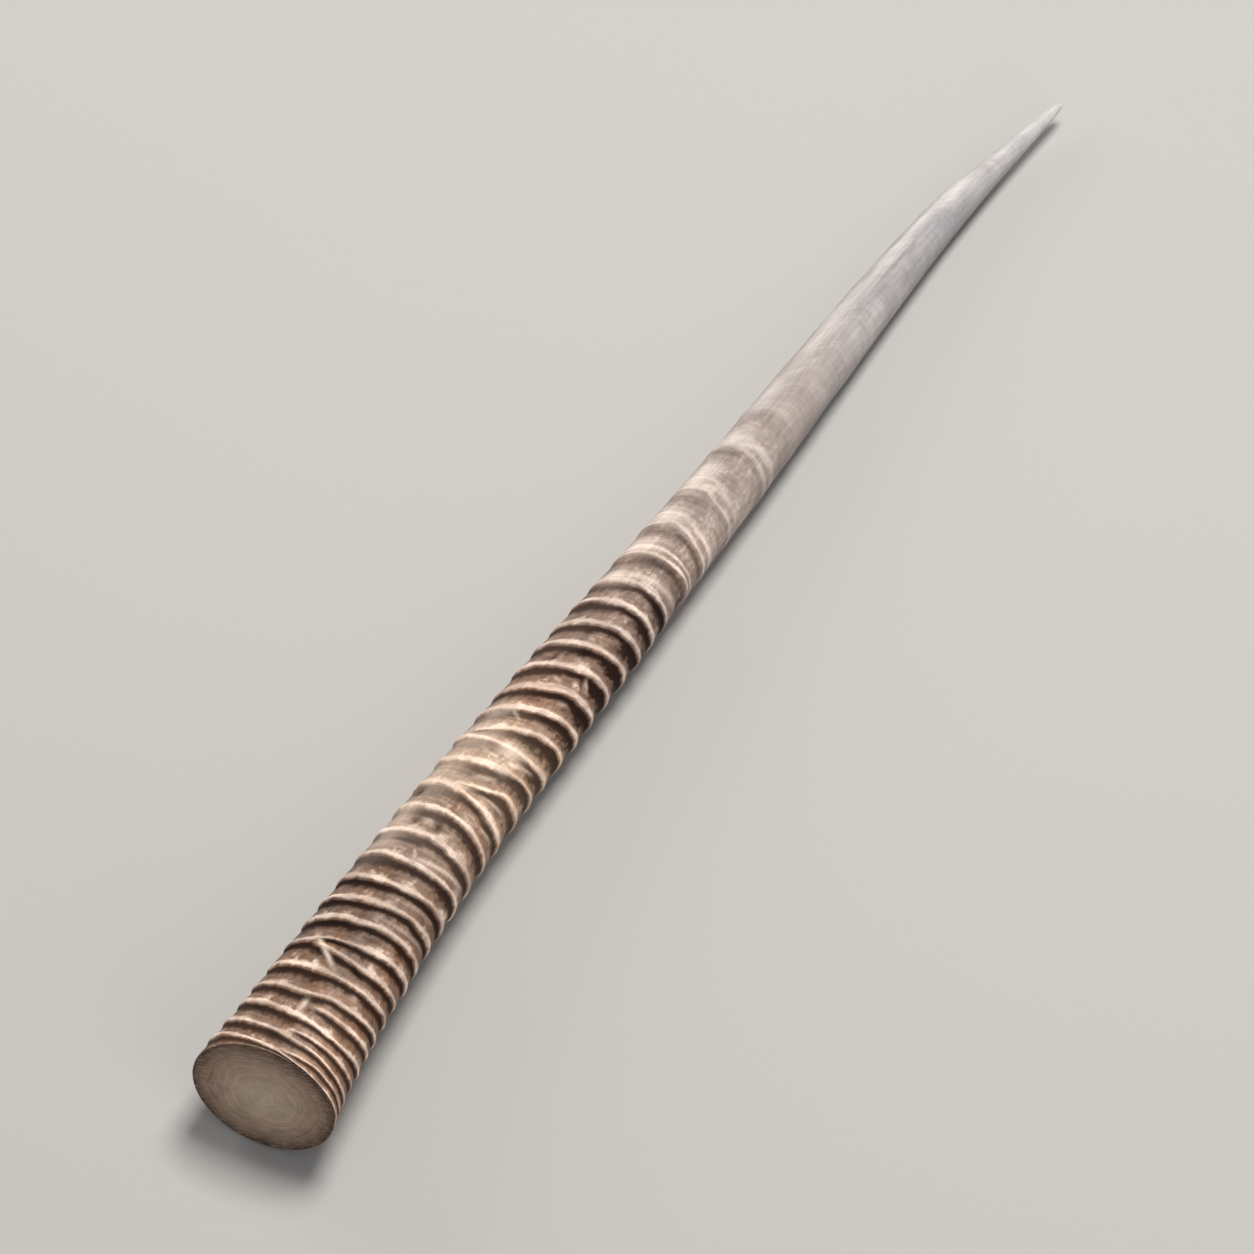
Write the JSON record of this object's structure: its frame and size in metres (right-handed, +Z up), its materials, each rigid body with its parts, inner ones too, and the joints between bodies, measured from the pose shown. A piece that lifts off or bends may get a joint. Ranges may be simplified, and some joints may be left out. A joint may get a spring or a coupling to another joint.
{
  "type": "gemsbok horn",
  "caption": "Long slender antelope horn, gently bowed, ringed over its lower part and smooth to the point, cut off flat at the base and lying on its side.",
  "frame": {"origin": "on the ground, under the middle of the box round the lying horn", "axes": "+X from the cut base to the point, +Z up, and the outer side of the bow towards +Y"},
  "size_m": [0.6042, 0.0588, 0.0547],
  "materials": {
    "horn": "natural keratin: brown-grey rings with pale crests and dark grooves, silver-grey and smoother towards the pale point"
  },
  "bodies": {
    "root": {"horn": "horn"}
  },
  "joints": []
}
